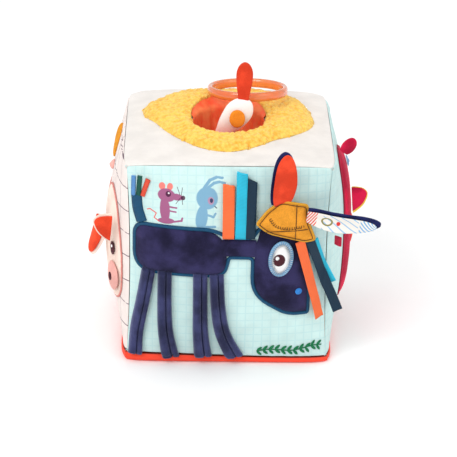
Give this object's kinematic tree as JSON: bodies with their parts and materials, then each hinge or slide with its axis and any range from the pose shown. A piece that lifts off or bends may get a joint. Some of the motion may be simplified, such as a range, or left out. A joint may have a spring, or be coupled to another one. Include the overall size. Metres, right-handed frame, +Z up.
{
  "type": "baby activity cube",
  "caption": "Soft cloth cube for a baby, with a padded donkey, loose legs, ribbons and ears, and a fleece nest whose pocket holds a ring toy.",
  "frame": {"origin": "middle of the flat underside the cube rests on", "axes": "+Z up, the donkey side faces -Y, +X to the right seen from the donkey side"},
  "size_m": [0.2203, 0.196, 0.2215],
  "materials": {
    "sky_cloth": "light plain-weave cotton with a faint check",
    "cream_cloth": "off-white cotton printed with thin plum lines",
    "white_cloth": "ivory cotton",
    "coral_cloth": "coral red cotton",
    "foam": "soft polyether foam",
    "orange_lining": "smooth satin lining",
    "yellow_fleece": "deep fleece pile",
    "navy_velour": "short plush velour",
    "coral_velour": "short plush velour",
    "print_cotton": "printed cotton",
    "crinkle_film": "thin crackling film",
    "mustard_felt": "stitched felt",
    "teal_cloth": "plain cotton",
    "blue_embroidery": "satin-stitch embroidery",
    "maroon_embroidery": "satin-stitch embroidery",
    "orange_ribbon": "grosgrain ribbon",
    "cyan_ribbon": "grosgrain ribbon",
    "navy_ribbon": "grosgrain ribbon",
    "peach_velour": "short velour",
    "pink_velour": "short velour",
    "crimson_velour": "short velour",
    "yellow_cotton": "plain cotton",
    "white_velour": "short velour",
    "orange_felt": "felt",
    "orange_plastic": "smooth clear orange plastic",
    "rattle_plastic": "moulded",
    "rattle_steel": "ball bearing"
  },
  "bodies": {
    "cube": {"front_panel": "sky_cloth", "back_panel": "sky_cloth", "left_panel": "cream_cloth", "right_panel": "sky_cloth", "bottom_panel": "coral_cloth", "top_panel": "white_cloth", "foam_core": "foam", "pocket_liner": "orange_lining", "fleece_nest": "yellow_fleece", "rattle_shell_upper": "rattle_plastic", "rattle_shell_lower": "rattle_plastic", "rattle_ball": "rattle_steel", "donkey_body_pad": "navy_velour", "donkey_neck_pad": "navy_velour", "donkey_head_pad": "navy_velour", "donkey_eye_patch": "blue_embroidery", "donkey_pupil_patch": "maroon_embroidery", "donkey_nostril_patch": "blue_embroidery", "tail_patch": "teal_cloth", "tail_tip_blue": "blue_embroidery", "tail_tip_green": "teal_cloth", "tail_tip_coral": "coral_velour", "bridle_patch": "mustard_felt", "pig_head_pad": "peach_velour", "pig_body_pad": "peach_velour", "pig_snout_pad": "pink_velour", "pig_nostril_patch": "maroon_embroidery", "pig_eye_patch": "maroon_embroidery", "hen_body_pad": "crimson_velour", "hen_eye_patch": "blue_embroidery", "hen_wing_pad": "coral_velour", "seam_tag": "crimson_velour"},
    "hind_leg_outer": {"hind_leg_outer": "navy_velour"},
    "hind_leg_inner": {"hind_leg_inner": "navy_velour"},
    "fore_leg_inner": {"fore_leg_inner": "navy_velour"},
    "fore_leg_outer": {"fore_leg_outer": "navy_velour"},
    "mane_orange": {"mane_ribbon_orange": "orange_ribbon"},
    "mane_cyan": {"mane_ribbon_cyan": "cyan_ribbon"},
    "mane_navy": {"mane_ribbon_navy": "navy_ribbon"},
    "forelock_orange": {"forelock_ribbon_orange": "orange_ribbon"},
    "forelock_navy": {"forelock_ribbon_navy": "navy_ribbon"},
    "forelock_cyan": {"forelock_ribbon_cyan": "cyan_ribbon"},
    "upright_ear": {"upright_ear_back": "navy_velour", "upright_ear_film": "crinkle_film", "upright_ear_front": "coral_velour"},
    "side_ear": {"side_ear_back": "navy_velour", "side_ear_film": "crinkle_film", "side_ear_front": "print_cotton"},
    "pig_near_ear": {"pig_near_ear_back": "pink_velour", "pig_near_ear_front": "coral_velour"},
    "pig_far_ear": {"pig_far_ear_back": "pink_velour", "pig_far_ear_front": "coral_velour"},
    "hen_comb": {"hen_comb": "crimson_velour"},
    "hen_cheek": {"hen_cheek_back": "yellow_cotton", "hen_cheek_front": "crimson_velour"},
    "drop_toy": {"charm_body": "white_velour", "charm_spot": "orange_felt", "charm_loop": "coral_cloth"},
    "drop_leaf": {"charm_leaf": "coral_velour"},
    "ring": {"teether_ring": "orange_plastic"}
  },
  "joints": [
    {"name": "hind_leg_outer_swing", "type": "hinge", "parent": "cube", "child": "hind_leg_outer", "pos_m": [-0.061, -0.089, 0.0763], "axis": [-1, 0, 0], "range_deg": [0, 65]},
    {"name": "hind_leg_inner_swing", "type": "hinge", "parent": "cube", "child": "hind_leg_inner", "pos_m": [-0.0485, -0.09297, 0.0763], "axis": [-1, 0, 0], "range_deg": [0, 65]},
    {"name": "fore_leg_inner_swing", "type": "hinge", "parent": "cube", "child": "fore_leg_inner", "pos_m": [-0.022, -0.09756, 0.0763], "axis": [-1, 0, 0], "range_deg": [0, 65]},
    {"name": "fore_leg_outer_swing", "type": "hinge", "parent": "cube", "child": "fore_leg_outer", "pos_m": [-0.008, -0.0983, 0.0763], "axis": [-1, 0, 0], "range_deg": [0, 65]},
    {"name": "mane_orange_fall", "type": "hinge", "parent": "cube", "child": "mane_orange", "pos_m": [-0.0003, -0.09352, 0.11], "axis": [1, 0, 0], "range_deg": [0, 95]},
    {"name": "mane_cyan_fall", "type": "hinge", "parent": "cube", "child": "mane_cyan", "pos_m": [0.0083, -0.09345, 0.11], "axis": [1, 0, 0], "range_deg": [0, 95]},
    {"name": "mane_navy_fall", "type": "hinge", "parent": "cube", "child": "mane_navy", "pos_m": [0.0164, -0.09315, 0.11], "axis": [1, 0, 0], "range_deg": [0, 95]},
    {"name": "forelock_orange_lift", "type": "hinge", "parent": "cube", "child": "forelock_orange", "pos_m": [0.0525, -0.09307, 0.1035], "axis": [-1, 0, 0], "range_deg": [0, 75]},
    {"name": "forelock_navy_lift", "type": "hinge", "parent": "cube", "child": "forelock_navy", "pos_m": [0.0615, -0.09015, 0.101], "axis": [-1, 0, 0], "range_deg": [0, 75]},
    {"name": "forelock_cyan_lift", "type": "hinge", "parent": "cube", "child": "forelock_cyan", "pos_m": [0.0615, -0.09015, 0.101], "axis": [-1, 0, 0], "range_deg": [0, 75]},
    {"name": "upright_ear_fold", "type": "hinge", "parent": "cube", "child": "upright_ear", "pos_m": [0.0369, -0.0893, 0.138], "axis": [0.9439, 0.3304, 0], "range_deg": [-12, 50], "stiffness_Nm_per_rad": 0.002},
    {"name": "side_ear_fold", "type": "hinge", "parent": "cube", "child": "side_ear", "pos_m": [0.0614, -0.091, 0.1295], "axis": [0.1052, -0.4081, 0.9069], "range_deg": [-14, 6], "stiffness_Nm_per_rad": 0.002},
    {"name": "pig_near_ear_fold", "type": "hinge", "parent": "cube", "child": "pig_near_ear", "pos_m": [-0.0885, -0.063, 0.104], "axis": [0, 0, 1], "range_deg": [-15, 45]},
    {"name": "pig_far_ear_lift", "type": "hinge", "parent": "cube", "child": "pig_far_ear", "pos_m": [-0.0965, -0.031, 0.1], "axis": [-0.4471, 0.8941, 0.0268], "range_deg": [0, 50]},
    {"name": "hen_comb_fold", "type": "hinge", "parent": "cube", "child": "hen_comb", "pos_m": [0.0875, -0.03, 0.1545], "axis": [0.8115, 0.2434, -0.5313], "range_deg": [-25, 25]},
    {"name": "hen_cheek_fold", "type": "hinge", "parent": "cube", "child": "hen_cheek", "pos_m": [0.0954, -0.031, 0.117], "axis": [0, 0, 1], "range_deg": [-22, 15]},
    {"name": "toy_lift_out", "type": "slide", "parent": "cube", "child": "drop_toy", "axis": [0, 0, 1], "range_m": [0, 0.08]},
    {"name": "ring_flip", "type": "hinge", "parent": "drop_toy", "child": "ring", "pos_m": [0.015, 0.00147, 0.18678], "axis": [1, 0, 0], "range_deg": [0, 90]},
    {"name": "leaf_flop", "type": "hinge", "parent": "drop_toy", "child": "drop_leaf", "pos_m": [0.0113, -0.013, 0.192], "axis": [1, 0, 0], "range_deg": [-20, 40]}
  ],
  "couplings": [
    {"joint": "forelock_cyan_lift", "follows": "forelock_navy_lift", "ratio": 1}
  ]
}
